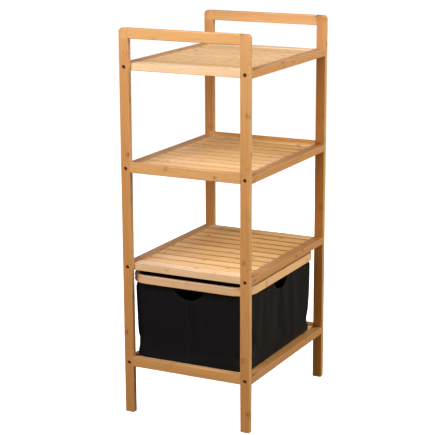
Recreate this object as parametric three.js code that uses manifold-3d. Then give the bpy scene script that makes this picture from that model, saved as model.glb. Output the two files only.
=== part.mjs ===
// Free-standing bamboo rack for a bathroom. Two glued side frames stand left and right. Four slatted
// shelf panels are bolted between them. A fabric basket with a bent bamboo rim stands on the bottom
// shelf and slides out to the front.
// Millimetres, +Z up, front towards -Y, left towards -X, origin on the floor under the middle.
import * as THREE from "three";
import { mergeVertices } from "three/addons/utils/BufferGeometryUtils.js";
import Module from "manifold-3d";

// Overall
const width = 450;
const depth = 340;
const height = 950;

// Side frames: posts, rungs and top rails cut from one flat stock
const postWidth = 25; // along Y
const frameThickness = 13; // along X
const rungHeight = 25;
const topCornerRadius = 10;
const footChamfer = 2;

// Shelf levels, counted from the bottom shelf
const shelfNames = ["bottom_shelf", "third_shelf", "second_shelf", "top_shelf"];
const rungNames = { bottom_shelf: "bottom_rung", second_shelf: "middle_rung" };
const bottomShelfZ = 120; // underside of the bottom shelf
const topShelfDrop = 101; // from the top of the posts to the underside of the top shelf

// Shelf panels
const railHeight = 18;
const endBoardWidth = 31;
const slatWidth = 31;
const slatGap = 8; // wanted gap, evened out over the slats
const slatThickness = 9;
const slatDrop = 2; // slats lie this much lower than the rails
const cleatWidth = 18;
const cleatThickness = 5;
const cleatNotch = 1; // the slats are notched over the cleats

// Glued tenons
const tenonShoulder = 4; // above, below and beside a tenon
const tenonThickness = 6;
const tenonWall = 1; // wood left between a mortise and a bolt's counterbore
const boardTenonLength = 6;

// Bolts
const headRadius = 4.2;
const headThickness = 4;
const shankRadius = 2.5;
const shankReach = 35; // into the end of a rail
const pointLength = 3;
const socketRadius = 2.1;
const socketDepth = 2.5;
const counterboreDepth = 7;

// Basket
const basketSideGap = 6; // between the rim and a side frame
const basketFrontInset = 12; // the rim stands this far behind the front of the rack
const basketRearInset = 1;
const basketHeadroom = 13; // between the rim and the shelf above
const rimHeight = 21;
const rimThickness = 10;
const rimCornerRadius = 50;
const bagWall = 2;
const bagCornerRadius = 30;
const hemDrop = 5; // the bag's hem ends this far below the rim's top
const handHoleWidth = 85;
const handHoleDepth = 30;
const baseBoardThickness = 3;
const baseBoardGap = 1;

// Clearance between cut or turned pieces
const clearance = 0.3;
const roundSegments = 12;
const cornerSegments = 8;

// Worked out from the values above
const frameSpan = depth - 2 * postWidth; // between a frame's posts, and between the long rails
const panelLength = width - 2 * frameThickness;
const shelfPitch = (height - topShelfDrop - bottomShelfZ) / (shelfNames.length - 1);
const boltInset = postWidth / 2; // from the front or rear of the rack
const boltHeight = railHeight / 2; // above a panel's underside
const counterboreRadius = headRadius + clearance;
const boltHoleRadius = shankRadius + clearance;
const tenonLength = postWidth / 2 - counterboreRadius - tenonWall;

// Touching faces lie on one fine grid, so that they meet exactly in 32-bit meshes.
const grid = 1 / 64;

function snap(value) {
  return Math.round(value / grid) * grid;
}

const wasm = await Module();
wasm.setup();

const bamboo = new THREE.MeshStandardMaterial({ color: 0xdda566, roughness: 0.5, metalness: 0 });
const bentBamboo = new THREE.MeshStandardMaterial({ color: 0xe6b87c, roughness: 0.5, metalness: 0 });
const blackFabric = new THREE.MeshStandardMaterial({ color: 0x171516, roughness: 0.95, metalness: 0 });
const greyBoard = new THREE.MeshStandardMaterial({ color: 0x4a4642, roughness: 0.9, metalness: 0 });
const blackSteel = new THREE.MeshStandardMaterial({ color: 0x2b2420, roughness: 0.45, metalness: 0.9 });

// A closed geometry as a solid.
function toSolid(geometry) {
  const bare = geometry.clone();
  bare.deleteAttribute("normal");
  bare.deleteAttribute("uv");
  const merged = mergeVertices(bare, 1e-4);
  const mesh = new wasm.Mesh({
    numProp: 3,
    vertProperties: merged.attributes.position.array,
    triVerts: new Uint32Array(merged.index.array),
  });
  return new wasm.Manifold(mesh);
}

function toGeometry(solid) {
  const mesh = solid.getMesh();
  const geometry = new THREE.BufferGeometry();
  geometry.setAttribute("position", new THREE.BufferAttribute(new Float32Array(mesh.vertProperties), 3));
  geometry.setIndex(new THREE.BufferAttribute(new Uint32Array(mesh.triVerts), 1));
  const flat = geometry.toNonIndexed();
  flat.computeVertexNormals();
  return flat;
}

function join(...geometries) {
  return toGeometry(geometries.map(toSolid).reduce((all, solid) => all.add(solid)));
}

function cut(geometry, cutters) {
  return toGeometry(cutters.map(toSolid).reduce((left, cutter) => left.subtract(cutter), toSolid(geometry)));
}

// A box from its low and high limits along X, Y and Z.
function block([x0, x1], [y0, y1], [z0, z1]) {
  const low = [x0, y0, z0].map(snap);
  const high = [x1, y1, z1].map(snap);
  const box = new THREE.BoxGeometry(high[0] - low[0], high[1] - low[1], high[2] - low[2]);
  return box.translate((low[0] + high[0]) / 2, (low[1] + high[1]) / 2, (low[2] + high[2]) / 2);
}

// A cylinder along X.
function cylinderAlongX(radius, [x0, x1], y, z) {
  const cylinder = new THREE.CylinderGeometry(radius, radius, x1 - x0, roundSegments);
  return cylinder.rotateZ(-Math.PI / 2).translate((x0 + x1) / 2, y, z);
}

// An outline extruded upwards from z.
function slab(outline, z, thickness) {
  const options = { depth: snap(thickness), bevelEnabled: false, curveSegments: cornerSegments };
  return new THREE.ExtrudeGeometry(outline, options).translate(0, 0, snap(z));
}

function roundedOutline(length, breadth, radius) {
  const x = length / 2 - radius;
  const y = breadth / 2 - radius;
  const outline = new THREE.Shape();
  outline.absarc(x, -y, radius, -Math.PI / 2, 0);
  outline.absarc(x, y, radius, 0, Math.PI / 2);
  outline.absarc(-x, y, radius, Math.PI / 2, Math.PI);
  outline.absarc(-x, -y, radius, Math.PI, 1.5 * Math.PI);
  return outline;
}

function addPiece(group, name, geometry, material) {
  const piece = new THREE.Mesh(geometry, material);
  piece.name = name;
  group.add(piece);
  return piece;
}

function shelfZ(index) {
  return bottomShelfZ + index * shelfPitch;
}

// Underside of each cross member of a side frame, with its name.
function crossMembers() {
  const rungs = shelfNames
    .map((shelf, index) => ({ name: rungNames[shelf], z: shelfZ(index) }))
    .filter((rung) => rung.name);
  return [...rungs, { name: "top_rail", z: height - rungHeight }];
}

// A post with its outer face at x = 0 and its front face at y = 0.
function postGeometry() {
  const outline = new THREE.Shape();
  outline.moveTo(footChamfer, 0);
  outline.lineTo(postWidth - footChamfer, 0);
  outline.lineTo(postWidth, footChamfer);
  outline.lineTo(postWidth, height);
  outline.absarc(topCornerRadius, height - topCornerRadius, topCornerRadius, Math.PI / 2, Math.PI);
  outline.lineTo(0, footChamfer);
  const options = { depth: frameThickness, bevelEnabled: false, curveSegments: cornerSegments };
  const yzx = new THREE.Matrix4().set(0, 0, 1, 0, 1, 0, 0, 0, 0, 1, 0, 0, 0, 0, 0, 1);
  const post = new THREE.ExtrudeGeometry(outline, options).applyMatrix4(yzx);
  const boltHoles = shelfNames.flatMap((_, index) => {
    const z = shelfZ(index) + boltHeight;
    return [
      cylinderAlongX(counterboreRadius, [-1, counterboreDepth], boltInset, z),
      cylinderAlongX(boltHoleRadius, [1, frameThickness + 1], boltInset, z),
    ];
  });
  const middle = frameThickness / 2;
  const mortises = crossMembers().map(({ z }) =>
    block(
      [middle - tenonThickness / 2 - clearance, middle + tenonThickness / 2 + clearance],
      [postWidth - tenonLength - clearance, postWidth + 1],
      [z + tenonShoulder - clearance, z + rungHeight - tenonShoulder + clearance],
    ),
  );
  return cut(post, [...boltHoles, ...mortises]);
}

// A rung or top rail between the posts, with a tenon at each end.
function rungGeometry(z) {
  const end = frameSpan / 2;
  const middle = frameThickness / 2;
  return join(
    block([0, frameThickness], [-end, end], [z, z + rungHeight]),
    block(
      [middle - tenonThickness / 2, middle + tenonThickness / 2],
      [-end - tenonLength, end + tenonLength],
      [z + tenonShoulder, z + rungHeight - tenonShoulder],
    ),
  );
}

// side is -1 on the left and 1 on the right.
function sideFrame(side) {
  const frame = new THREE.Group();
  const prefix = side < 0 ? "left_frame_" : "right_frame_";
  frame.position.x = snap((side * width) / 2);
  frame.scale.x = -side;
  const post = postGeometry();
  const frontPost = addPiece(frame, prefix + "front_post", post, bamboo);
  frontPost.position.y = -snap(depth / 2);
  const rearPost = addPiece(frame, prefix + "rear_post", post, bamboo);
  rearPost.position.y = snap(depth / 2);
  rearPost.scale.y = -1;
  for (const { name, z } of crossMembers()) {
    addPiece(frame, prefix + name, rungGeometry(z), bamboo);
  }
  return frame;
}

// The front rail, its underside at z = 0, with a bore for a bolt and a mortise for an end board at
// each end.
function railGeometry() {
  const end = panelLength / 2;
  const front = -depth / 2;
  const inner = -frameSpan / 2;
  const rail = block([-end, end], [front, inner], [0, railHeight]);
  const cuts = [-1, 1].flatMap((side) => {
    const bore = [side * (end - shankReach - clearance), side * (end + 1)].sort((a, b) => a - b);
    const mortise = [
      side * (end - endBoardWidth + tenonShoulder - clearance),
      side * (end - tenonShoulder + clearance),
    ].sort((a, b) => a - b);
    return [
      cylinderAlongX(boltHoleRadius, bore, front + boltInset, boltHeight),
      block(
        mortise,
        [inner - boardTenonLength - clearance, inner + 1],
        [tenonShoulder - clearance, railHeight - tenonShoulder + clearance],
      ),
    ];
  });
  return cut(rail, cuts);
}

// The left end board, with a tenon at each end.
function endBoardGeometry() {
  const outer = -panelLength / 2;
  const end = frameSpan / 2;
  return join(
    block([outer, outer + endBoardWidth], [-end, end], [0, railHeight]),
    block(
      [outer + tenonShoulder, outer + endBoardWidth - tenonShoulder],
      [-end - boardTenonLength, end + boardTenonLength],
      [tenonShoulder, railHeight - tenonShoulder],
    ),
  );
}

// The slats of one shelf, joined by the two cleats that they are glued to.
function slatsGeometry() {
  const span = panelLength - 2 * endBoardWidth;
  const end = frameSpan / 2;
  const top = railHeight - slatDrop;
  const bottom = top - slatThickness;
  const count = Math.max(1, Math.round((span - slatGap) / (slatWidth + slatGap)));
  const gap = (span - count * slatWidth) / (count + 1);
  const slats = Array.from({ length: count }, (_, index) => {
    const x = -span / 2 + gap + index * (slatWidth + gap);
    return block([x, x + slatWidth], [-end, end], [bottom, top]);
  });
  const cleats = [-end, end - cleatWidth].map((y) =>
    block([-span / 2, span / 2], [y, y + cleatWidth], [bottom - cleatThickness, bottom + cleatNotch]),
  );
  return join(...cleats, ...slats);
}

function shelfPanel(name, z) {
  const panel = new THREE.Group();
  panel.position.z = snap(z);
  const rail = railGeometry();
  const board = endBoardGeometry();
  addPiece(panel, name + "_front_rail", rail, bamboo);
  addPiece(panel, name + "_rear_rail", rail, bamboo).scale.y = -1;
  addPiece(panel, name + "_left_end_board", board, bamboo);
  addPiece(panel, name + "_right_end_board", board, bamboo).scale.x = -1;
  addPiece(panel, name + "_slats", slatsGeometry(), bamboo);
  return panel;
}

// A bolt along X. The outer face of the post lies at x = 0, and the head is sunk in its counterbore.
function boltGeometry() {
  const seat = counterboreDepth - clearance;
  const crown = seat - headThickness;
  const tip = frameThickness + shankReach - clearance;
  const profile = [
    [0, crown + socketDepth],
    [socketRadius, crown + socketDepth],
    [socketRadius, crown],
    [headRadius, crown],
    [headRadius, seat],
    [shankRadius, seat],
    [shankRadius, tip - pointLength],
    [0, tip],
  ];
  const points = profile.map(([radius, x]) => new THREE.Vector2(radius, x));
  return new THREE.LatheGeometry(points, roundSegments).rotateZ(-Math.PI / 2);
}

function shelfBolts(name, z) {
  const bolts = new THREE.Group();
  const bolt = boltGeometry();
  for (const [end, y] of [["front", -1], ["rear", 1]]) {
    for (const [side, x] of [["left", -1], ["right", 1]]) {
      const piece = addPiece(bolts, `${name}_${end}_${side}_bolt`, bolt, blackSteel);
      piece.position.set((x * width) / 2, y * (depth / 2 - boltInset), z + boltHeight);
      piece.scale.x = -x;
    }
  }
  return bolts;
}

// Half of the basket's rim, from the middle of its left side round the front to the middle of its
// right side, as an outline seen from above.
function rimHalfOutline(length, breadth) {
  const inner = rimCornerRadius - rimThickness;
  const x = length / 2;
  const y = -breadth / 2;
  const centreX = x - rimCornerRadius;
  const centreY = y + rimCornerRadius;
  const outline = new THREE.Shape();
  outline.moveTo(-x, 0);
  outline.absarc(-centreX, centreY, rimCornerRadius, Math.PI, 1.5 * Math.PI);
  outline.absarc(centreX, centreY, rimCornerRadius, 1.5 * Math.PI, 2 * Math.PI);
  outline.lineTo(x, 0);
  outline.lineTo(x - rimThickness, 0);
  outline.absarc(centreX, centreY, inner, 2 * Math.PI, 1.5 * Math.PI, true);
  outline.absarc(-centreX, centreY, inner, 1.5 * Math.PI, Math.PI, true);
  outline.lineTo(-x + rimThickness, 0);
  return outline;
}

// A half-moon, flat side up, as wide and as deep as a hand hole, with its flat side on y = 0.
function handHoleOutline() {
  const half = handHoleWidth / 2;
  const radius = (half * half + handHoleDepth * handHoleDepth) / (2 * handHoleDepth);
  const centre = radius - handHoleDepth;
  const start = Math.atan2(-centre, -half);
  const outline = new THREE.Shape();
  outline.absarc(0, centre, radius, start, -Math.PI - start);
  return outline;
}

// The bag: a full foot with small corners, and a hem that fits inside the rim.
function bagGeometry(length, breadth, rimZ, hemZ) {
  const outer = [
    slab(roundedOutline(length, breadth, bagCornerRadius), 0, rimZ - 1),
    slab(roundedOutline(length, breadth, rimCornerRadius - rimThickness - clearance), rimZ - 2, hemZ - rimZ + 2),
  ];
  const insideLength = length - 2 * bagWall;
  const insideBreadth = breadth - 2 * bagWall;
  const hemRadius = rimCornerRadius - rimThickness - clearance - bagWall;
  const inside = [
    slab(roundedOutline(insideLength, insideBreadth, bagCornerRadius - bagWall), bagWall, rimZ - 1 - 2 * bagWall),
    slab(roundedOutline(insideLength, insideBreadth, hemRadius), bagWall + 1, hemZ),
  ];
  const holes = [0, Math.PI / 2].map((turn) => {
    const reach = Math.max(length, breadth);
    const options = { depth: reach, bevelEnabled: false, curveSegments: cornerSegments };
    const prism = new THREE.ExtrudeGeometry(handHoleOutline(), options).translate(0, 0, -reach / 2);
    return prism.rotateX(Math.PI / 2).rotateZ(turn).translate(0, 0, rimZ);
  });
  return cut(join(...outer), [...inside, ...holes]);
}

function basket() {
  const group = new THREE.Group();
  const length = panelLength - 2 * basketSideGap;
  const breadth = depth - basketFrontInset - basketRearInset;
  const rimZ = shelfPitch - railHeight - basketHeadroom - rimHeight;
  const hemZ = rimZ + rimHeight - hemDrop;
  group.position.y = snap((basketFrontInset - basketRearInset) / 2);
  group.position.z = snap(bottomShelfZ + railHeight);
  const rim = slab(rimHalfOutline(length, breadth), rimZ, rimHeight);
  addPiece(group, "basket_rim_front", rim, bentBamboo);
  addPiece(group, "basket_rim_rear", rim, bentBamboo).scale.y = -1;
  const bagLength = length - 2 * (rimThickness + clearance);
  const bagBreadth = breadth - 2 * (rimThickness + clearance);
  addPiece(group, "basket_bag", bagGeometry(bagLength, bagBreadth, rimZ, hemZ), blackFabric);
  const inset = 2 * (bagWall + baseBoardGap);
  const boardRadius = bagCornerRadius - bagWall - baseBoardGap;
  const board = roundedOutline(bagLength - inset, bagBreadth - inset, boardRadius);
  addPiece(group, "basket_base_board", slab(board, bagWall, baseBoardThickness), greyBoard);
  return group;
}

const rack = new THREE.Group();
rack.add(sideFrame(-1), sideFrame(1));
shelfNames.forEach((name, index) => {
  rack.add(shelfPanel(name, shelfZ(index)), shelfBolts(name, shelfZ(index)));
});
rack.add(basket());

export default rack;
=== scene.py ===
# Bamboo bathroom rack with a fabric basket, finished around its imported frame.
# Metres everywhere, +Z up, the front towards -Y, the left towards -X. Sizes in the dictionaries
# are in millimetres unless their notes say otherwise.
import math
import random
from functools import partial

import bmesh
import bpy
import numpy as np
from mathutils import Matrix, Vector, noise
from mathutils.bvhtree import BVHTree


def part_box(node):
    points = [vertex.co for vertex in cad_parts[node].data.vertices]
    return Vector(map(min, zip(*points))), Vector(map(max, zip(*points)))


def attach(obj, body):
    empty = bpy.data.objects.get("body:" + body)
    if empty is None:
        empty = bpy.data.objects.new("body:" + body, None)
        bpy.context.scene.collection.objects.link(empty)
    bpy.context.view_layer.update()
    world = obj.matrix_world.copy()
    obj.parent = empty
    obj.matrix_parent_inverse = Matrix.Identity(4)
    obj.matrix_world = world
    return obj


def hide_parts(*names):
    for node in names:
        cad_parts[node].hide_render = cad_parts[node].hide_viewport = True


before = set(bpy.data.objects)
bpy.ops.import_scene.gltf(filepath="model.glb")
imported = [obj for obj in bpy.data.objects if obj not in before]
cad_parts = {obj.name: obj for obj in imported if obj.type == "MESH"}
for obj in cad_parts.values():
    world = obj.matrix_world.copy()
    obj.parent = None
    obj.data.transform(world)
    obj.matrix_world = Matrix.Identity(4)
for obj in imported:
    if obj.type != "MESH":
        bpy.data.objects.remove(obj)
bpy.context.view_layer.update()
mm = 0.001
shelves = ["bottom_shelf", "third_shelf", "second_shelf", "top_shelf"]
print("frame loaded:", len(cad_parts), "nodes")


def linear(code):  # sRGB hex to a linear colour
    channels = [int(code[place:place + 2], 16) / 255 for place in (1, 3, 5)]
    return tuple(c / 12.92 if c <= 0.04045 else ((c + 0.055) / 1.055) ** 2.4 for c in channels) + (1.0,)


def addNode(tree, kind, inputs=(), **settings):
    # inputs by place or by name, each a value, a link or a list of links; gives back the outputs
    node = tree.nodes.new(kind)
    for key, value in settings.items():
        setattr(node, key, value)
    for key, value in inputs.items() if isinstance(inputs, dict) else enumerate(inputs):
        for each in value if isinstance(value, list) else [value]:
            if isinstance(each, bpy.types.NodeSocket):
                tree.links.new(each, node.inputs[key])
            else:
                node.inputs[key].default_value = each
    return node.outputs


def newPiece(name, shape=None):  # an object at the origin, from a bmesh that is used up
    mesh = bpy.data.meshes.new(name)
    if shape is not None:
        shape.to_mesh(mesh)
        shape.free()
    piece = bpy.data.objects.new(name, mesh)
    bpy.context.scene.collection.objects.link(piece)
    return piece


def addModifier(piece, name, kind, **settings):
    modifier = piece.modifiers.new(name, kind)
    for key, value in settings.items():
        setattr(modifier, key, value)
    return modifier


def settle(piece):  # turns what the modifiers make into the piece's own plain mesh
    depsgraph = bpy.context.evaluated_depsgraph_get()
    made = piece.evaluated_get(depsgraph)
    mesh = bpy.data.meshes.new_from_object(made, preserve_all_data_layers=True, depsgraph=depsgraph)
    piece.modifiers.clear()
    piece.data = mesh
    mesh.name = piece.name
    return piece


def settleEvenly(piece):  # shaded smooth, with the broad faces kept flat
    addModifier(piece, "evenShading", "WEIGHTED_NORMAL", mode="FACE_AREA", weight=100)
    piece.data.shade_smooth()
    return settle(piece)


def smoothBelow(piece, angle):  # shaded smooth, but for edges sharper than an angle in degrees
    piece.data.shade_smooth()
    piece.data.set_sharp_from_angle(angle=math.radians(angle))


def removePiece(piece):
    bpy.data.objects.remove(piece, do_unlink=True)


def coordinates(mesh):
    points = np.empty(len(mesh.vertices) * 3, np.float32)
    mesh.vertices.foreach_get("co", points)
    return points.reshape(-1, 3).astype(float)


def writeAttribute(mesh, name, values):
    values = np.asarray(values, np.float32)
    kind, field = ("FLOAT", "value") if values.ndim == 1 else ("FLOAT_VECTOR", "vector")
    layer = mesh.attributes.get(name) or mesh.attributes.new(name, kind, "POINT")
    layer.data.foreach_set(field, values.ravel())


def finishPiece(piece, body, material=None, nodes=()):
    if material is not None:
        piece.data.materials.clear()
        piece.data.materials.append(material)
    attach(piece, body)
    if nodes:
        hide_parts(*nodes)


# The camera looks from the front left and a little from above.
view = {
    "azimuth": -63.16,  # degrees from the front, negative to the left
    "elevation": 13.84,
    "roll": -0.226,
    "distance": 3.6818,  # metres
    "target": (0, 0, 0.475),
    "slide": (-0.0237, -0.0120),  # metres, right and up in the view
    "lens": 122.59,
}


def placeCamera():
    azimuth, elevation, roll = (math.radians(view[key]) for key in ("azimuth", "elevation", "roll"))
    back = Vector((
        math.sin(azimuth) * math.cos(elevation),
        -math.cos(azimuth) * math.cos(elevation),
        math.sin(elevation),
    ))
    level = Vector((math.cos(azimuth), math.sin(azimuth), 0))
    upright = back.cross(level)
    right = level * math.cos(roll) + upright * math.sin(roll)
    up = upright * math.cos(roll) - level * math.sin(roll)
    place = Vector(view["target"]) + back * view["distance"]
    place += right * view["slide"][0] + up * view["slide"][1]
    data = bpy.data.cameras.new("camera")
    data.lens = view["lens"]
    data.sensor_width = 36
    data.clip_end = 200
    camera = bpy.data.objects.new("camera", data)
    camera.matrix_world = Matrix.Translation(place) @ Matrix((right, up, back)).transposed().to_4x4()
    bpy.context.scene.collection.objects.link(camera)
    bpy.context.scene.camera = camera


placeCamera()

# Soft boxes above, at the left and in front, a weak fill at the right, a dim room and a pale floor.
studio = {
    "lights": [  # name, place, aim and sizes in metres, watts, colour
        ("upperSoftBox", (-1.15, 0.2, 1.85), (0, 0, 0.8), (0.8, 0.8), 37.4, "#C5D8FF"),
        ("leftSoftBox", (-2.0, 0.1, 1.2), (0, 0, 0.6), (1.2, 1.2), 20.2, "#FFF1C7"),
        ("frontSoftBox", (0.1, -2.2, 1.55), (0, 0, 0.9), (1.0, 2.0), 48.1, "#FFFDFB"),
        ("upperFrontSoftBox", (-0.2, -1.5, 1.9), (0, 0, 0.8), (1.0, 1.0), 16.1, "#FFF2AF"),
        ("rightFill", (2.3, -0.2, 0.6), (0, 0, 0.5), (1.6, 1.0), 24, "#FFFFFF"),
    ],
    "noGloss": "rightFill",  # this one only lifts the shadows
    "roomLight": 0.08,
    "roomColour": "#FF8A50",
    "screenLight": 0.35,  # white screens all round, seen in the gloss only
    "floorHalf": 60,  # metres
    "floorColour": "#F4F3F1",
    "floorShade": "#7C7468",  # what the floor gives back to the rack, dimmer than what is seen of it
    "floorGlow": 1.0,
}


def lightStudio():
    scene = bpy.context.scene
    scene.view_settings.view_transform = "Standard"
    for name, place, aim, size, watts, colour in studio["lights"]:
        data = bpy.data.lights.new(name, "AREA")
        data.energy = watts
        data.shape = "RECTANGLE"
        data.size, data.size_y = size
        data.color = linear(colour)[:3]
        lamp = bpy.data.objects.new(name, data)
        lamp.location = place
        lamp.rotation_euler = (Vector(aim) - Vector(place)).to_track_quat("-Z", "Y").to_euler()
        lamp.visible_glossy = name != studio["noGloss"]
        scene.collection.objects.link(lamp)
    scene.world = bpy.data.worlds.new("room")
    scene.world.use_nodes = True
    scene.world.node_tree.nodes.clear()
    add = partial(addNode, scene.world.node_tree)
    room = add("ShaderNodeBackground", (linear(studio["roomColour"]), studio["roomLight"]))
    screens = add("ShaderNodeBackground", {"Strength": studio["screenLight"]})
    glossy = add("ShaderNodeLightPath")["Is Glossy Ray"]
    surround = add("ShaderNodeMixShader", (glossy, room[0], screens[0]))
    add("ShaderNodeOutputWorld", (surround[0],))


def layFloor():
    shape = bmesh.new()
    bmesh.ops.create_grid(shape, x_segments=2, y_segments=2, size=studio["floorHalf"])
    floor = newPiece("floor", shape)
    material = bpy.data.materials.new("paleStudioFloor")
    material.use_nodes = True
    material.node_tree.nodes.clear()
    add = partial(addNode, material.node_tree)
    paint = add("ShaderNodeBsdfDiffuse", (linear(studio["floorColour"]),))
    shade = add("ShaderNodeBsdfDiffuse", (linear(studio["floorShade"]),))
    glow = add("ShaderNodeEmission", {"Strength": studio["floorGlow"]})
    both = add("ShaderNodeAddShader", (paint[0], glow[0]))
    seen = add("ShaderNodeMixShader", (add("ShaderNodeLightPath")["Is Camera Ray"], shade[0], both[0]))
    add("ShaderNodeOutputMaterial", (seen[0],))
    floor.data.materials.append(material)


lightStudio()
layFloor()
print("camera, lights and floor placed")


def newMaterial(name, surface):
    # surface adds a finish's own nodes and gives back what goes into the shader
    material = bpy.data.materials.new(name)
    material.use_nodes = True
    material.node_tree.nodes.clear()
    add = partial(addNode, material.node_tree)
    shader = add("ShaderNodeBsdfPrincipled", surface(add))
    add("ShaderNodeOutputMaterial", (shader[0],))
    return material


# Laminated bamboo, sanded and given a satin lacquer: strips of slightly different honey tones run
# lengthwise, each with long fibres, and brown joints where the cane had its nodes.
bambooLook = {
    "stripWidth": 12.5,
    "layerThickness": 6.5,
    "knotSpacing": 240,
    "knotLength": 10,
    "knotPatch": (9, 4),  # length and width
    "fibre": (90, 1.6),  # real fibres are about 0.5 wide, drawn coarser so that they show
    "streak": (260, 5),
    "cloud": (220, 60),
    "cutFibre": 1.4,  # real ones are 0.5 across, drawn coarser so that they show
    "depth": -0.82,  # lower is paler
    "paintedSideLightShare": 0.6,  # how much the narrow faces take of the tone painted on them as light and shade
    "roughness": 0.46,
    "coat": 0.12,
    "reliefDepth": 0.4,
}
# pale and deep tones of the strips, dark fibres, knots, and a tone painted on the narrow faces as light and
# shade: dark as painted shade on the slats' sides in their gaps, pale as a painted highlight on the posts'
# narrow faces
bambooTones = {
    "postBamboo": ("#CC9354", "#BD8040", "#9F6026", "#713B11", "#C0A47A"),
    "rungBamboo": ("#D9A468", "#CB914E", "#AA6D30", "#794318", "#CE985B"),
    "railBamboo": ("#C19364", "#B4814B", "#96612E", "#6B3B16", "#B88859"),
    "slatBamboo": ("#FFD69A", "#F0BE7C", "#CA8F4B", "#955D26", "#936030"),
    "panelBamboo": ("#F1CEA5", "#E3BB89", "#C59258", "#915E2D", "#DFB581"),
    "bentBamboo": ("#E8C094", "#D8AC79", "#BE8A54", "#905F31", "#D8AC79"),
}


def laminatedBamboo(tones, add):
    look = bambooLook
    # side is the tone painted on the narrow faces as light and shade
    pale, deep, dark, brown, side = (linear(code) for code in tones)
    grain = add("ShaderNodeAttribute", attribute_name="grain")["Vector"]
    seed = add("ShaderNodeAttribute", attribute_name="boardSeed")["Fac"]
    fibre = add("ShaderNodeAttribute", attribute_name="fibre")["Vector"]
    narrow = add("ShaderNodeAttribute", attribute_name="narrow")["Fac"]
    normal = add("ShaderNodeNewGeometry")["Normal"]
    apart = add("ShaderNodeVectorMath", {0: (31.7, 7.3, 11.9), "Scale": seed}, operation="SCALE")[0]
    shifted = add("ShaderNodeVectorMath", (grain, apart), operation="ADD")[0]

    def pattern(size, detail, sharpness):  # cloudy spots of a length along the fibres and a width
        scale = (1 / (size[0] * mm), 1 / (size[1] * mm), 1 / (size[1] * mm))
        stretched = add("ShaderNodeVectorMath", (shifted, scale), operation="MULTIPLY")[0]
        spots = {"Vector": stretched, "Scale": 1.0, "Detail": detail, "Roughness": sharpness}
        return add("ShaderNodeTexNoise", spots)["Fac"]

    # one random number set for each strip of each board
    perStrip = (0, 1 / (look["stripWidth"] * mm), 1 / (look["layerThickness"] * mm))
    counted = add("ShaderNodeVectorMath", (shifted, perStrip, (0.5, 0, 0)), operation="MULTIPLY_ADD")[0]
    strip = add("ShaderNodeVectorMath", (counted,), operation="FLOOR")[0]
    chance = add("ShaderNodeTexWhiteNoise", {"Vector": strip, "W": seed}, noise_dimensions="4D")
    draw = add("ShaderNodeSeparateColor", (chance["Color"],))

    fine = pattern(look["fibre"], 3.0, 0.6)
    streak = pattern(look["streak"], 2.0, 0.5)
    cloud = pattern(look["cloud"], 1.0, 0.5)

    # knots: each strip has its own place for them, and some are stronger than others
    along = add("ShaderNodeSeparateXYZ", (shifted,))[0]
    spaced = add("ShaderNodeMath", (along, look["knotSpacing"] * mm), operation="DIVIDE")[0]
    turns = add("ShaderNodeMath", (draw[0], 7.0, spaced), operation="MULTIPLY_ADD")[0]
    within = add("ShaderNodeMath", (turns,), operation="FRACT")[0]
    centred = add("ShaderNodeMath", (within, 0.5), operation="SUBTRACT")[0]
    offset = add("ShaderNodeMath", (centred,), operation="ABSOLUTE")[0]
    wander = add("ShaderNodeMath", (streak, 0.03, -0.015), operation="MULTIPLY_ADD")[0]
    wavy = add("ShaderNodeMath", (offset, wander), operation="ADD")[0]
    reach = look["knotLength"] / look["knotSpacing"]
    near = add("ShaderNodeMapRange", (wavy, 0.0, reach, 1.0, 0.0))[0]
    place = add("ShaderNodeMath", (turns,), operation="FLOOR")[0]
    which = add("ShaderNodeTexWhiteNoise", {"Vector": strip, "W": place}, noise_dimensions="4D")["Value"]
    strength = add("ShaderNodeMapRange", (which, 0.35, 0.9))[0]
    patch = add("ShaderNodeMapRange", (pattern(look["knotPatch"], 1.0, 0.5), 0.38, 0.52))[0]
    strong = add("ShaderNodeMath", (near, strength), operation="MULTIPLY")[0]
    knot = add("ShaderNodeMath", (strong, patch), operation="MULTIPLY")[0]

    # how deep the tone is: by strip, by streak, by broad cloud and by board
    byStrip = add("ShaderNodeMath", (draw[1], 0.55, look["depth"]), operation="MULTIPLY_ADD")[0]
    byStreak = add("ShaderNodeMath", (streak, 0.7, byStrip), operation="MULTIPLY_ADD")[0]
    byCloud = add("ShaderNodeMath", (cloud, 0.9, byStreak), operation="MULTIPLY_ADD")[0]
    scattered = add("ShaderNodeMath", (seed, 91.7), operation="MULTIPLY")[0]
    boardChance = add("ShaderNodeMath", (scattered,), operation="FRACT")[0]
    tone = add("ShaderNodeMath", (boardChance, 0.5, byCloud), operation="MULTIPLY_ADD")[0]
    # end grain shows the cut fibres as dark points
    across = add("ShaderNodeVectorMath", (normal, fibre), operation="DOT_PRODUCT")["Value"]
    facing = add("ShaderNodeMath", (across,), operation="ABSOLUTE")[0]
    endFace = add("ShaderNodeMapRange", (facing, 0.75, 0.95))[0]
    cells = {"Vector": shifted, "Scale": 1 / (look["cutFibre"] * mm)}
    points = add("ShaderNodeTexVoronoi", cells)["Distance"]
    dots = add("ShaderNodeMath", (points, -0.6, 0.65), operation="MULTIPLY_ADD")[0]
    # painted light and shade on the narrow faces: the slats' sides in their gaps get painted shade, the
    # posts' narrow faces a painted highlight
    paintedSideLightMask = add("ShaderNodeMapRange", (narrow, 0.9, 1.0))[0]
    dense = add("ShaderNodeMapRange", (fine, 0.42, 0.75))[0]
    colour = add("ShaderNodeMix", {0: tone, 6: pale, 7: deep}, data_type="RGBA")[2]
    for share, most, tint in (
        (paintedSideLightMask, look["paintedSideLightShare"], side),
        (dense, 0.55, dark),
        (knot, 0.9, brown),
        (endFace, dots, dark),
    ):
        amount = add("ShaderNodeMath", (share, most), operation="MULTIPLY")[0]
        colour = add("ShaderNodeMix", {0: amount, 6: colour, 7: tint}, data_type="RGBA")[2]

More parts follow.
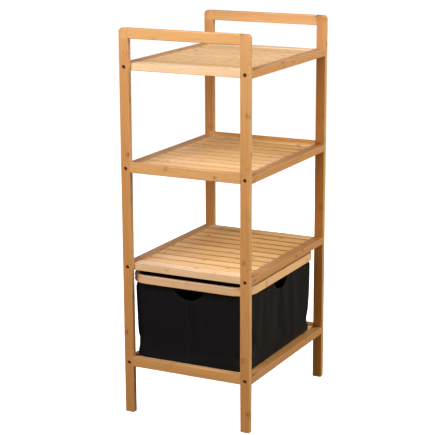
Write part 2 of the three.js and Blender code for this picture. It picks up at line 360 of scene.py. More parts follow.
    dull = add("ShaderNodeMath", (fine, 0.12, look["roughness"] - 0.06), operation="MULTIPLY_ADD")[0]
    raised = add("ShaderNodeMath", (knot, 0.8), operation="MULTIPLY")[0]
    relief = add("ShaderNodeMath", (fine, 0.5, raised), operation="MULTIPLY_ADD")[0]
    bump = {"Strength": 0.25, "Distance": look["reliefDepth"] * mm, "Height": relief}
    return {
        "Base Color": colour,
        "Roughness": dull,
        "IOR": 1.5,
        "Coat Weight": look["coat"],
        "Coat Roughness": 0.32,
        "Normal": add("ShaderNodeBump", bump)[0],
    }


bamboo = {name: newMaterial(name, partial(laminatedBamboo, tones)) for name, tones in bambooTones.items()}

# Fixings, cloth and board: colours, and the sizes of their patterns
finishes = {
    "steel": ("#54392A", "#6E4E3A"),
    "rubbed": 1.111,
    "cloth": ("#0A0809", "#110E0F"),
    "threadPitch": 1.6,  # real threads are 0.6 apart, drawn coarser so that they show
    "slub": 2.632,
    "dust": 71.43,
    "thread": "#1B1919",
    "ply": 1.923,  # real plies are 0.3 apart, drawn coarser so that they show
    # the lining's near-black tones are painted shade for the dark inside of the bag
    "paintedShadeLining": ("#050505", "#080707"),
    "crease": 16.67,
    "board": ("#3C3733", "#6A625B"),
    "fleck": 2.381,
    "cloud": 40,
}


def mottled(add, vector, size, pair):
    # two colours mixed by cloudy spots of a size; gives back the spots and the colour
    spots = add("ShaderNodeTexNoise", {"Vector": vector, "Scale": 1 / (size * mm), "Detail": 3.0})["Fac"]
    first, second = (linear(code) for code in pair)
    return spots, add("ShaderNodeMix", {0: spots, 6: first, 7: second}, data_type="RGBA")[2]


def burnishedSteel(add):
    # dark, half dull, a little brighter where a key has rubbed it
    place = add("ShaderNodeTexCoord")["Object"]
    rubbed, colour = mottled(add, place, finishes["rubbed"], finishes["steel"])
    return {
        "Base Color": colour,
        "Metallic": 1.0,
        "Roughness": add("ShaderNodeMapRange", {"Value": rubbed, "To Min": 0.38, "To Max": 0.6})[0],
        "Normal": add("ShaderNodeBump", {"Strength": 0.2, "Distance": 0.1 * mm, "Height": rubbed})[0],
    }


def wovenPolyester(add):
    # plain-woven black polyester: crossed threads, dull, with a faint sheen and dusty creases
    cloth = add("ShaderNodeUVMap", uv_map="weave")[0]
    halfTurns = {0: cloth, "Scale": math.pi / (finishes["threadPitch"] * mm)}
    threads = add("ShaderNodeVectorMath", halfTurns, operation="SCALE")[0]
    waves = [add("ShaderNodeMath", (part,), operation="SINE")[0] for part in
             list(add("ShaderNodeSeparateXYZ", (threads,)))[:2]]
    warp, weft = (add("ShaderNodeMath", (wave,), operation="ABSOLUTE")[0] for wave in waves)
    crossed = add("ShaderNodeMath", waves, operation="MULTIPLY")[0]
    over = add("ShaderNodeMath", (crossed, 0.0), operation="GREATER_THAN")[0]
    weave = add("ShaderNodeMix", {0: over, 2: weft, 3: warp})[0]
    slub = add("ShaderNodeTexNoise", {"Vector": cloth, "Scale": 1 / (finishes["slub"] * mm)})["Fac"]
    raised = add("ShaderNodeMath", (slub, 0.6, weave), operation="MULTIPLY_ADD")[0]
    dust = {"Vector": cloth, "Scale": 1 / (finishes["dust"] * mm), "Detail": 3.0}
    dusty = add("ShaderNodeMath", (add("ShaderNodeTexNoise", dust)["Fac"], 0.65), operation="MULTIPLY")[0]
    shade = add("ShaderNodeMath", (weave, 0.35, dusty), operation="MULTIPLY_ADD")[0]
    black, worn = (linear(code) for code in finishes["cloth"])
    return {
        "Base Color": add("ShaderNodeMix", {0: shade, 6: black, 7: worn}, data_type="RGBA")[2],
        "Roughness": 0.85,
        "Specular IOR Level": 0.13,
        "Sheen Weight": 0.03,
        "Sheen Roughness": 0.5,
        "Normal": add("ShaderNodeBump", {"Strength": 0.35, "Distance": 0.3 * mm, "Height": raised})[0],
    }


def coatedLining(add):
    # the bag's inner side, near black: painted shade for the dark inside of the bag
    cloth = add("ShaderNodeUVMap", uv_map="weave")[0]
    creases, colour = mottled(add, cloth, finishes["crease"], finishes["paintedShadeLining"])
    return {
        "Base Color": colour,
        "Roughness": 0.9,
        "Specular IOR Level": 0.03,
        "Normal": add("ShaderNodeBump", {"Strength": 0.3, "Distance": 0.4 * mm, "Height": creases})[0],
    }


def twistedThread(add):
    # sewing thread of twisted polyester: fine slanting plies
    place = add("ShaderNodeTexCoord")["Object"]
    scale = 1 / (finishes["ply"] * mm)
    plies = add("ShaderNodeTexWave", {"Vector": place, "Scale": scale}, bands_direction="DIAGONAL")["Fac"]
    return {
        "Base Color": linear(finishes["thread"]),
        "Roughness": 0.6,
        "Normal": add("ShaderNodeBump", {"Strength": 0.4, "Distance": 0.2 * mm, "Height": plies})[0],
    }


def pressedFibreboard(add):
    # grey board, matt and flecked with fibres
    place = add("ShaderNodeTexCoord")["Object"]
    cloud = {"Vector": place, "Scale": 1 / (finishes["cloud"] * mm)}
    broad = add("ShaderNodeTexNoise", cloud)["Fac"]
    fleck = {"Vector": place, "Scale": 1 / (finishes["fleck"] * mm), "Detail": 4.0}
    flecks = add("ShaderNodeTexNoise", fleck)["Fac"]
    both = add("ShaderNodeMath", (flecks, broad), operation="MULTIPLY")[0]
    dark, pale = (linear(code) for code in finishes["board"])
    return {
        "Base Color": add("ShaderNodeMix", {0: both, 6: dark, 7: pale}, data_type="RGBA")[2],
        "Roughness": 0.88,
        "Normal": add("ShaderNodeBump", {"Strength": 0.3, "Distance": 0.3 * mm, "Height": flecks})[0],
    }


steel = newMaterial("burnishedSteel", burnishedSteel)
wovenCloth = newMaterial("wovenPolyester", wovenPolyester)
paintedShadeLining = newMaterial("coatedLining", coatedLining)
thread = newMaterial("twistedThread", twistedThread)
fibreboard = newMaterial("pressedFibreboard", pressedFibreboard)
print("materials made")

# Boards: sharp edges are eased, except where a board is glued flush to its neighbour.
boards = {
    "frameEase": 1.7,
    "railEase": 1.3,
    "slatEase": 1.1,
    "easeSteps": 3,
    "topCornerRadius": 10,
    "footChamfer": 2,
    "counterboreDepth": 7,
    "counterboreRadius": 4.5,
    "counterboreChamfer": 0.5,
    "boreRadius": 2.8,
    "slatWidth": 31,
    "slatGap": 8,
    "slatThickness": 9,
    "cleatWidth": 18,
    "cleatEase": 0.6,
    "slatUnevenness": 0.12,
    "glueGap": 0.3,
    "flatAngle": 0.6,  # radians: flatter edges aren't eased
    "roundSteps": 28,
    "seed": 11,
}
lots = random.Random(boards["seed"])


def blockShape(low, high):
    shape = bmesh.new()
    bmesh.ops.create_cube(shape, size=1)
    for vert in shape.verts:
        vert.co = Vector(low[i] if vert.co[i] < 0 else high[i] for i in range(3))
    return shape


def extruded(corners, along):
    # a closed solid from a flat outline that is pushed along a vector
    shape = bmesh.new()
    end = shape.faces.new([shape.verts.new(corner) for corner in corners])
    moved = bmesh.ops.extrude_face_region(shape, geom=[end])["geom"]
    pushed = [vert for vert in moved if isinstance(vert, bmesh.types.BMVert)]
    bmesh.ops.translate(shape, vec=along, verts=pushed)
    bmesh.ops.recalc_face_normals(shape, faces=shape.faces)
    return shape


def postShape(low, high, front):
    top, width = high.z, high.y - low.y
    chamfer, radius = boards["footChamfer"] * mm, boards["topCornerRadius"] * mm
    arc = [math.radians(9 * step) for step in range(11)]
    outline = [(chamfer, 0), (width - chamfer, 0), (width, chamfer), (width, top)]
    outline += [(radius - radius * math.sin(turn), top - radius + radius * math.cos(turn)) for turn in arc]
    outline += [(0, chamfer)]
    corners = [(low.x, low.y + t if front else high.y - t, z) for t, z in outline]
    return extruded(corners, (high.x - low.x, 0, 0))


def markEases(shape, along, flush):
    # cuts the edges at each glued neighbour, then weighs those that are to be eased
    for low, high in flush:
        normal = Vector(float(i == along) for i in range(3))
        for place in (low[along], high[along]):
            everything = shape.verts[:] + shape.edges[:] + shape.faces[:]
            bmesh.ops.bisect_plane(
                shape, geom=everything, dist=1e-6, plane_co=normal * place, plane_no=normal,
            )
    weight = shape.edges.layers.float.new("bevel_weight_edge")
    gap = boards["glueGap"] * mm
    for edge in shape.edges:
        middle = (edge.verts[0].co + edge.verts[1].co) / 2
        glued = any(all(low[i] - gap < middle[i] < high[i] + gap for i in range(3)) for low, high in flush)
        edge[weight] = 0 if glued or edge.calc_face_angle(0) < boards["flatAngle"] else 1


def lathe(shape, profile, centre, inward, segments):
    # rings of the profile's radii, at its depths along X from the centre
    rings = []
    turns = [2 * math.pi * step / segments for step in range(segments)]
    for depth, radius in profile:
        x = centre[0] + inward * depth * mm
        reach = radius * mm
        spots = [(x, centre[1] + reach * math.cos(t), centre[2] + reach * math.sin(t)) for t in turns]
        rings.append([shape.verts.new(spot) for spot in (spots if radius else spots[:1])])
    for ring, following in zip(rings, rings[1:]):
        for step in range(segments):
            corners = [ring[step % len(ring)], ring[(step + 1) % len(ring)]]
            corners += [following[(step + 1) % len(following)], following[step % len(following)]]
            shape.faces.new(list(dict.fromkeys(corners)))
    bmesh.ops.recalc_face_normals(shape, faces=shape.faces)


def markGrain(mesh, along, low, high):
    # u along the fibres, v across the wider side, w through the board
    size = [high[i] - low[i] for i in range(3)]
    order = [along] + sorted((i for i in range(3) if i != along), key=lambda i: -size[i])
    middle = np.array([(low[i] + high[i]) / 2 for i in range(3)])
    points = coordinates(mesh)
    writeAttribute(mesh, "grain", (points - middle)[:, order])
    # 1 on the two narrow faces, less on the wide ones
    writeAttribute(mesh, "narrow", np.abs(points - middle)[:, order[1]] / (size[order[1]] / 2))
    direction = np.zeros_like(points)
    direction[:, along] = 1
    writeAttribute(mesh, "fibre", direction)


def cutWith(piece, cutter):
    addModifier(piece, "bore", "BOOLEAN", operation="DIFFERENCE", solver="EXACT", object=cutter)


def easeBoard(piece, ease, cutter=None):
    steps = boards["easeSteps"]
    addModifier(piece, "ease", "BEVEL", limit_method="WEIGHT", width=ease * mm, segments=steps)
    if cutter is not None:
        cutWith(piece, cutter)
    settleEvenly(piece)


def makeBoard(node, shape, along, limits, flush, ease, finish, cutter=None):
    markEases(shape, along, flush)
    piece = newPiece(node + "_board", shape)
    easeBoard(piece, ease, cutter)
    markGrain(piece.data, along, *limits)
    writeAttribute(piece.data, "boardSeed", np.full(len(piece.data.vertices), lots.random()))
    finishPiece(piece, "rack", bamboo[finish], [node])
    if cutter is not None:
        removePiece(cutter)
    return piece


def boreCutter(bolts, face, profile):
    # one cutter for all the bolts of a board; face gives the outer face and the inward direction
    shape = bmesh.new()
    for bolt in bolts:
        low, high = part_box(bolt)
        middle = (low + high) / 2
        outer, inward = face(middle)
        lathe(shape, profile, (outer, middle.y, middle.z), inward, boards["roundSteps"])
    return newPiece("cutter", shape)


def between(box, front, rear):  # a box's part that shows between its front and rear neighbours
    low, high = box
    return Vector((low.x, front[1].y, low.z)), Vector((high.x, rear[0].y, high.z))


def makeFrames():
    deep, wide, bore = (boards[key] for key in ("counterboreDepth", "counterboreRadius", "boreRadius"))
    rim = boards["counterboreChamfer"]
    profile = [(-1, 0), (-1, wide + rim + 1), (rim, wide), (deep, wide), (deep, bore), (15, bore), (15, 0)]
    rungs = ["bottom_rung", "middle_rung", "top_rail"]
    ease = boards["frameEase"]
    for side, sign in (("left", -1), ("right", 1)):
        frameName = f"{side}_frame_"
        posts = {end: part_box(f"{frameName}{end}_post") for end in ("front", "rear")}
        boxes = [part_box(frameName + rung) for rung in rungs]
        for end, (low, high) in posts.items():
            bolts = [f"{shelf}_{end}_{side}_bolt" for shelf in shelves]
            outer = low.x if sign < 0 else high.x
            cutter = boreCutter(bolts, lambda middle: (outer, -sign), profile)
            shape = postShape(low, high, end == "front")
            makeBoard(f"{frameName}{end}_post", shape, 2, (low, high), boxes, ease, "postBamboo", cutter)
        for rung, box in zip(rungs, boxes):
            limits = between(box, posts["front"], posts["rear"])
            flush = list(posts.values())
            makeBoard(frameName + rung, blockShape(*limits), 1, limits, flush, ease, "rungBamboo")


makeFrames()
print("side frames made")


# Slats in an even row across a shelf, and two cleats under their ends.
def newTree(name, sockets):
    # a Geometry Nodes tree with named inputs: it, its way to add a node, and what it is given
    tree = bpy.data.node_groups.new(name, "GeometryNodeTree")
    for title, kind in sockets.items():
        tree.interface.new_socket(title, in_out="INPUT", socket_type="NodeSocket" + kind)
    tree.interface.new_socket("Geometry", in_out="OUTPUT", socket_type="NodeSocketGeometry")
    add = partial(addNode, tree)
    return tree, add, add("NodeGroupInput")


def closeTree(add, geometry, finish):  # the copies become plain mesh with their finish
    real = add("GeometryNodeRealizeInstances", (geometry,))
    done = add("GeometryNodeSetMaterial", {"Geometry": real[0], "Material": finish})
    add("NodeGroupOutput", (done[0],))


def deckTree():
    tree, add, given = newTree("slatDeck", {
        "Slat": "Object", "Slat count": "Int", "First slat": "Vector", "Slat step": "Vector",
        "Cleat": "Object", "First cleat": "Vector", "Cleat step": "Vector",
        "Unevenness": "Float", "Seed": "Int", "Finish": "Material",
    })
    rows = []
    for part, count, first, step, shift in (
        ("Slat", given["Slat count"], "First slat", "Slat step", 0.0),
        ("Cleat", 2, "First cleat", "Cleat step", 50.0),
    ):
        line = add("GeometryNodeMeshLine", {
            "Count": count, "Start Location": given[first], "Offset": given[step],
        })
        seed = add("ShaderNodeMath", (given["Seed"], shift), operation="ADD")[0]
        drop = {"Min": (0, 0, -1), "Max": (0, 0, 0), "Seed": seed}
        sway = add("FunctionNodeRandomValue", drop, data_type="FLOAT_VECTOR")[0]
        lower = add("ShaderNodeVectorMath", {0: sway, "Scale": given["Unevenness"]}, operation="SCALE")[0]
        laid = add("GeometryNodeSetPosition", {"Geometry": line[0], "Offset": lower})
        source = add("GeometryNodeObjectInfo", {"Object": given[part]})["Geometry"]
        spread = add("GeometryNodeInstanceOnPoints", {"Points": laid[0], "Instance": source})
        chance = {"Min": 0.0, "Max": 1.0, "Seed": seed}
        number = add("FunctionNodeRandomValue", chance, data_type="FLOAT")[1]
        marked = {"Geometry": spread[0], "Name": "boardSeed", "Value": number}
        rows.append(add("GeometryNodeStoreNamedAttribute", marked, data_type="FLOAT", domain="INSTANCE")[0])
    closeTree(add, add("GeometryNodeJoinGeometry", (rows,))[0], given["Finish"])
    return tree


def runNodes(piece, tree, values):
    modifier = piece.modifiers.new(tree.name, "NODES")
    modifier.node_group = tree
    for item in tree.interface.items_tree:
        if item.item_type == "SOCKET" and item.in_out == "INPUT" and item.name in values:
            modifier[item.identifier] = values[item.name]
    return settle(piece)


def looseBoard(name, size, ease):  # a board round the origin, to be repeated
    half = Vector(size) / 2
    shape = blockShape(-half, half)
    markEases(shape, 1, [])
    piece = newPiece(name, shape)
    easeBoard(piece, ease)
    markGrain(piece.data, 1 if size[1] > size[0] else 0, -half, half)
    return piece


def shelfRails(shelf):
    # the long rails with their bores, and the end boards between them
    profile = [(-1, 0), (-1, boards["boreRadius"]), (36, boards["boreRadius"]), (36, 0)]
    ease = boards["railEase"]
    rails = {end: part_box(f"{shelf}_{end}_rail") for end in ("front", "rear")}
    ends = {side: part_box(f"{shelf}_{side}_end_board") for side in ("left", "right")}
    for end, (low, high) in rails.items():
        cutter = boreCutter(
            [f"{shelf}_{end}_{side}_bolt" for side in ("left", "right")],
            lambda middle: (low.x, 1) if middle.x < 0 else (high.x, -1),
            profile,
        )
        flush = list(ends.values())
        name = f"{shelf}_{end}_rail"
        makeBoard(name, blockShape(low, high), 0, (low, high), flush, ease, "railBamboo", cutter)
    for side, box in ends.items():
        limits = between(box, rails["front"], rails["rear"])
        flush = list(rails.values())
        name = f"{shelf}_{side}_end_board"
        makeBoard(name, blockShape(*limits), 1, limits, flush, ease, "panelBamboo")


def slatDeck(shelf, deck, seed):
    low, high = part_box(shelf + "_slats")
    width, gap, thickness, cleatWidth = (
        boards[key] * mm for key in ("slatWidth", "slatGap", "slatThickness", "cleatWidth")
    )
    span, length = high.x - low.x, high.y - low.y
    count = max(1, round((span - gap) / (width + gap)))
    gap = (span - count * width) / (count + 1)
    cleatHeight = high.z - thickness - low.z
    slat = looseBoard("slat", (width, length, thickness), boards["slatEase"])
    cleat = looseBoard("cleat", (span, cleatWidth, cleatHeight), boards["cleatEase"])
    piece = runNodes(newPiece(shelf + "_slat_deck"), deck, {
        "Slat": slat,
        "Slat count": count,
        "First slat": (low.x + gap + width / 2, (low.y + high.y) / 2, high.z - thickness / 2),
        "Slat step": (width + gap, 0, 0),
        "Cleat": cleat,
        "First cleat": ((low.x + high.x) / 2, low.y + cleatWidth / 2, low.z + cleatHeight / 2),
        "Cleat step": (0, length - cleatWidth, 0),
        "Unevenness": boards["slatUnevenness"] * mm,
        "Seed": seed,
        "Finish": bamboo["slatBamboo"],
    })
    finishPiece(piece, "rack", None, [shelf + "_slats"])
    removePiece(slat)
    removePiece(cleat)


def makeShelves():
    deck = deckTree()
    for number, shelf in enumerate(shelves):
        shelfRails(shelf)
        slatDeck(shelf, deck, boards["seed"] + 7 * number)


makeShelves()
print("shelves made")

# Connecting bolts with a hexagon socket, sunk in the posts.
bolt = {
    "headRadius": 4.2,
    "headFace": 2.7,  # below the post's face
    "headSeat": 6.7,
    "shankRadius": 2.5,
    "threadDepth": 0.3,
    "threadPitch": 1.25,
    "threadStart": 16,
    "tip": 47.7,
    "socketRadius": 2.3,
    "socketDepth": 2.5,
    "roundSteps": 24,
}


def boltPiece():
    face, seat, radius, shank = (bolt[key] for key in ("headFace", "headSeat", "headRadius", "shankRadius"))
    profile = [(face, 0), (face, radius - 0.9), (face + 0.15, radius - 0.4), (face + 0.7, radius)]
    profile += [(seat - 0.2, radius), (seat, radius - 0.2), (seat, shank + 0.3), (seat + 0.3, shank)]
    depth = bolt["threadStart"]
    while depth < bolt["tip"] - 3:
        profile += [(depth, shank), (depth + bolt["threadPitch"] / 2, shank - bolt["threadDepth"])]
        depth += bolt["threadPitch"]
    profile += [(bolt["tip"] - 2, shank - 0.4), (bolt["tip"], 0)]
    shape = bmesh.new()
    lathe(shape, profile, (0, 0, 0), 1, bolt["roundSteps"])
    piece = newPiece("bolt", shape)
    hexagon = bmesh.new()
    across, deep = bolt["socketRadius"], face + bolt["socketDepth"]
    lathe(hexagon, [(face - 1, 0), (face - 1, across), (deep, across), (deep + 0.6, 0)], (0, 0, 0), 1, 6)
    cutter = newPiece("cutter", hexagon)
    cutWith(piece, cutter)
    settle(piece)
    removePiece(cutter)
    smoothBelow(piece, 35)
    return piece


def boltTree():
    sockets = {"Geometry": "Geometry", "Bolt": "Object", "Seed": "Int", "Finish": "Material"}
    tree, add, given = newTree("boltRow", sockets)
    source = add("GeometryNodeObjectInfo", {"Object": given["Bolt"]})["Geometry"]
    facing = add("GeometryNodeInputNamedAttribute", {"Name": "facing"}, data_type="FLOAT")[0]
    anyTurn = {"Min": 0.0, "Max": 6.28, "Seed": given["Seed"]}
    turn = add("FunctionNodeRandomValue", anyTurn, data_type="FLOAT")[1]
    angles = add("ShaderNodeCombineXYZ", {0: turn, 2: facing})[0]
    placed = {"Points": given["Geometry"], "Instance": source, "Rotation": angles}
    closeTree(add, add("GeometryNodeInstanceOnPoints", placed)[0], given["Finish"])
    return tree


def makeBolts():
    names, facing = [], []
    shape = bmesh.new()
    for shelf in shelves:
        for end in ("front", "rear"):
            for side in ("left", "right"):
                names.append(f"{shelf}_{end}_{side}_bolt")
                middle = sum(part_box(names[-1]), Vector()) / 2
                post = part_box(f"{side}_frame_front_post")
                outer = post[0].x if side == "left" else post[1].x
                shape.verts.new((outer, middle.y, middle.z))
                facing.append(0 if side == "left" else math.pi)
    piece = newPiece("connecting_bolts", shape)
    writeAttribute(piece.data, "facing", facing)
    source = boltPiece()
    runNodes(piece, boltTree(), {"Bolt": source, "Seed": boards["seed"], "Finish": steel})
    finishPiece(piece, "rack", None, names)
    removePiece(source)


makeBolts()
print("bolts made")

# The basket's rim: two bent halves that meet in the middle of the left and right sides.
rim = {
    "cornerRadius": 50,
    "thickness": 10,
    "ease": 2.6,
    "cornerSteps": 18,
    "straightStep": 20,
    "endEase": 0.5,
}


def rimPath(halfLength, halfBreadth):
    # the middle line of the front half, from the left side's middle, with outward normals
    radius = (rim["cornerRadius"] - rim["thickness"] / 2) * mm
    x, y = halfLength - rim["thickness"] / 2 * mm, halfBreadth - rim["thickness"] / 2 * mm
    path = [((-x, 0), (-1, 0)), ((-x, -y + radius), (-1, 0))]
    for centre, start in (((-x + radius, -y + radius), math.pi), ((x - radius, -y + radius), 1.5 * math.pi)):
        for step in range(rim["cornerSteps"] + 1):
            turn = start + math.pi / 2 * step / rim["cornerSteps"]
            normal = (math.cos(turn), math.sin(turn))
            path.append(((centre[0] + radius * normal[0], centre[1] + radius * normal[1]), normal))
    path.append(((x, 0), (1, 0)))
    filled = [path[0]]
    for place, normal in path[1:]:
        start, previous = filled[-1]
        length = math.dist(start, place)
        if length < 1e-6:
            continue
        parts = max(1, round(length / (rim["straightStep"] * mm)))
        for part in range(1, parts + 1):
            share = part / parts
            spot = (start[0] + (place[0] - start[0]) * share, start[1] + (place[1] - start[1]) * share)
            filled.append((spot, normal if part == parts else previous))
    return filled


def rimSection(width, height, ease, shrink):
    section = []
    for right, up, start in ((1, 1, 0), (-1, 1, 90), (-1, -1, 180), (1, -1, 270)):
        for step in range(5):
            turn = math.radians(start + 22.5 * step)
            section.append((
                right * (width / 2 - ease) + (ease - shrink) * math.cos(turn),
                up * (height / 2 - ease) + (ease - shrink) * math.sin(turn),
            ))
    return section


def skinLoops(shape, loops, weave=None):
    # faces between rings of vertices, and one over each end
    for number, (loop, following) in enumerate(zip(loops, loops[1:])):
        for step in range(len(loop)):
            after = (step + 1) % len(loop)
            face = shape.faces.new((loop[step], loop[after], following[after], following[step]))
            if weave is not None:
                spots = ((step, number), (step + 1, number), (step + 1, number + 1), (step, number + 1))
                for link, spot in zip(face.loops, spots):
                    link[weave].uv = (spot[0] * 2 * mm, spot[1] * 3 * mm)
    shape.faces.new(loops[0])
    shape.faces.new(loops[-1])


def makeRim():
    boxes = {end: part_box("basket_rim_" + end) for end in ("front", "rear")}
    low = Vector(min(boxes[end][0][i] for end in boxes) for i in range(3))
    high = Vector(max(boxes[end][1][i] for end in boxes) for i in range(3))
    middle = (low + high) / 2
    path = rimPath((high.x - low.x) / 2, (high.y - low.y) / 2)
    height = high.z - low.z
    gap, ease = rim["endEase"] * mm, rim["ease"] * mm
    (start, startNormal), (stop, stopNormal) = path[0], path[-1]
    rings = [(start, startNormal, gap), ((start[0], start[1] - gap), startNormal, 0)]
    rings += [place + (0,) for place in path[1:-1]]
    rings += [((stop[0], stop[1] - gap), stopNormal, 0), (stop, stopNormal, gap)]
    for end, turn in (("front", 1), ("rear", -1)):
        shape = bmesh.new()
        grain, fibres, loops = [], [], []
        length = 0
        for number, (place, normal, shrink) in enumerate(rings):
            if number:
                length += math.dist(place, rings[number - 1][0])
            loop = []
            for across, up in rimSection(rim["thickness"] * mm, height, ease, shrink):
                x = place[0] + normal[0] * across
                y = turn * (place[1] + normal[1] * across)
                loop.append(shape.verts.new((middle.x + x, middle.y + y, middle.z + up)))
                grain.append((length, up, across))
                fibres.append((-normal[1], turn * normal[0], 0))
            loops.append(loop)
        skinLoops(shape, loops)
        bmesh.ops.recalc_face_normals(shape, faces=shape.faces)
        piece = settleEvenly(newPiece("basket_rim_" + end + "_hoop", shape))
        writeAttribute(piece.data, "grain", grain)
        writeAttribute(piece.data, "fibre", fibres)
        writeAttribute(piece.data, "narrow", np.zeros(len(grain)))
        writeAttribute(piece.data, "boardSeed", np.full(len(grain), lots.random()))
        finishPiece(piece, "basket", bamboo["bentBamboo"], ["basket_rim_" + end])


makeRim()
print("basket rim made")

# The bag hangs inside the rim and stands on the shelf. It draws in below the rim and is pushed out
# again by its base board. Folds are given on a side, from one place to another: across and up.
bag = {
    "footRadius": 28,
    "neckRadius": 18,  # the corners are sharpest just under the rim
    "rimRadius": 39.5,
    "gather": 10,  # the height in which the corners are drawn in to pass inside the rim
    "drawIn": 2.8,
    "drawInSides": 0.35,  # share of it in the middle of a side
    "waist": 0.2,  # share of the height where it is narrowest
    "rows": 26,
    "columnStep": 7.0,
    "cornerColumns": 8,
    "wall": 1.5,
    "sway": 1.1,
    "simulationFrames": 24,
    "cloth": {
        "quality": 6, "mass": 0.12, "tension_stiffness": 25, "compression_stiffness": 25,
        "shear_stiffness": 8, "bending_stiffness": 2.5, "tension_damping": 12,
    },
    "slack": 0.009,
    "mostMove": 4.5,
    "folds": [
        ("front", (-172, 146), (-120, 232), 13, 2.6),
        ("front", (-150, 150), (-60, 200), 16, -1.6),
        ("front", (168, 150), (112, 226), 14, 2.4),
        ("front", (120, 215), (60, 262), 18, 1.6),
        ("front", (-60, 296), (-110, 250), 14, -1.6),
        ("front", (60, 296), (130, 262), 14, 1.6),
        ("left", (-128, 150), (-84, 226), 14, 2.0),
        ("left", (126, 150), (84, 222), 14, 2.0),
        ("left", (-50, 290), (-104, 250), 15, 1.4),
        ("left", (50, 290), (100, 256), 15, -1.4),
        ("right", (-126, 150), (-80, 230), 14, 2.0),
        ("right", (120, 150), (84, 232), 14, -1.8),
        ("rear", (-160, 150), (-110, 236), 15, 2.2),
        ("rear", (158, 150), (104, 222), 15, 2.0),
    ],
    "holeWidth": 85,
    "holeDepth": 30,
    "holeTop": 2.5,
    "bindingWidth": 6,
    "bindingThickness": 1.3,
    "bindingDrop": 0.6,
    "seamWidth": 15,
    "seamThickness": 0.7,
    "stitchInset": 1.6,
    "stitchPitch": 5.0,
    "stitchLength": 3.4,
    "stitchRadius": 0.45,  # real thread is 0.15 thick, drawn coarser so that it shows
}
bagLow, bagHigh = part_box("basket_bag")
bagMiddle = (bagLow + bagHigh) / 2
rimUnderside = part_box("basket_rim_front")[0].z
sideTurns = {"front": 0, "right": 1, "rear": 2, "left": 3}


def bagColumns(halfLength, halfBreadth, radius):
    # places round the bag at one height, always as many: (x, y), outward normal, side, across, cornerness
    columns = []
    for side in sideTurns:
        turn = sideTurns[side] * math.pi / 2
        half, reach = (halfLength, halfBreadth) if side in ("front", "rear") else (halfBreadth, halfLength)
        straight = half - radius
        full = sideReach("left" if side in ("front", "rear") else "front") - bag["footRadius"] * mm
        count = max(4, round(2 * full / (bag["columnStep"] * mm)))
        places = []
        for step in range(count):
            across = -straight + 2 * straight * step / count
            edge = abs(across) / half
            places.append((across, -reach, (0, -1), across, max(0.0, edge - 0.5) ** 2 * 4))
        for step in range(bag["cornerColumns"]):
            angle = -math.pi / 2 + math.pi / 2 * step / bag["cornerColumns"]
            normal = (math.cos(angle), math.sin(angle))
            x = straight + radius * normal[0]
            y = -reach + radius + radius * normal[1]
            places.append((x, y, normal, straight + radius * (angle + math.pi / 2), 1.0))
        cosine, sine = math.cos(turn), math.sin(turn)
        for x, y, normal, across, corner in places:
            spot = (x * cosine - y * sine, x * sine + y * cosine)
            outward = (normal[0] * cosine - normal[1] * sine, normal[0] * sine + normal[1] * cosine)
            columns.append((spot, outward, side, across, corner))
    return columns


def smoothStep(value):
    value = min(1.0, max(0.0, value))
    return value * value * (3 - 2 * value)


def foldHeight(side, across, z):
    height = 0
    for foldSide, start, end, width, depth in bag["folds"]:
        if foldSide != side:
            continue
        line = (end[0] - start[0], end[1] - start[1])
        place = (across / mm - start[0], z / mm - start[1])
        share = (place[0] * line[0] + place[1] * line[1]) / (line[0] ** 2 + line[1] ** 2)
        near = min(1.0, max(0.0, share))
        distance = math.hypot(place[0] - near * line[0], place[1] - near * line[1])
        height += depth * (1 - 0.6 * near) * math.exp(-(distance / width) ** 2)
    return height * mm


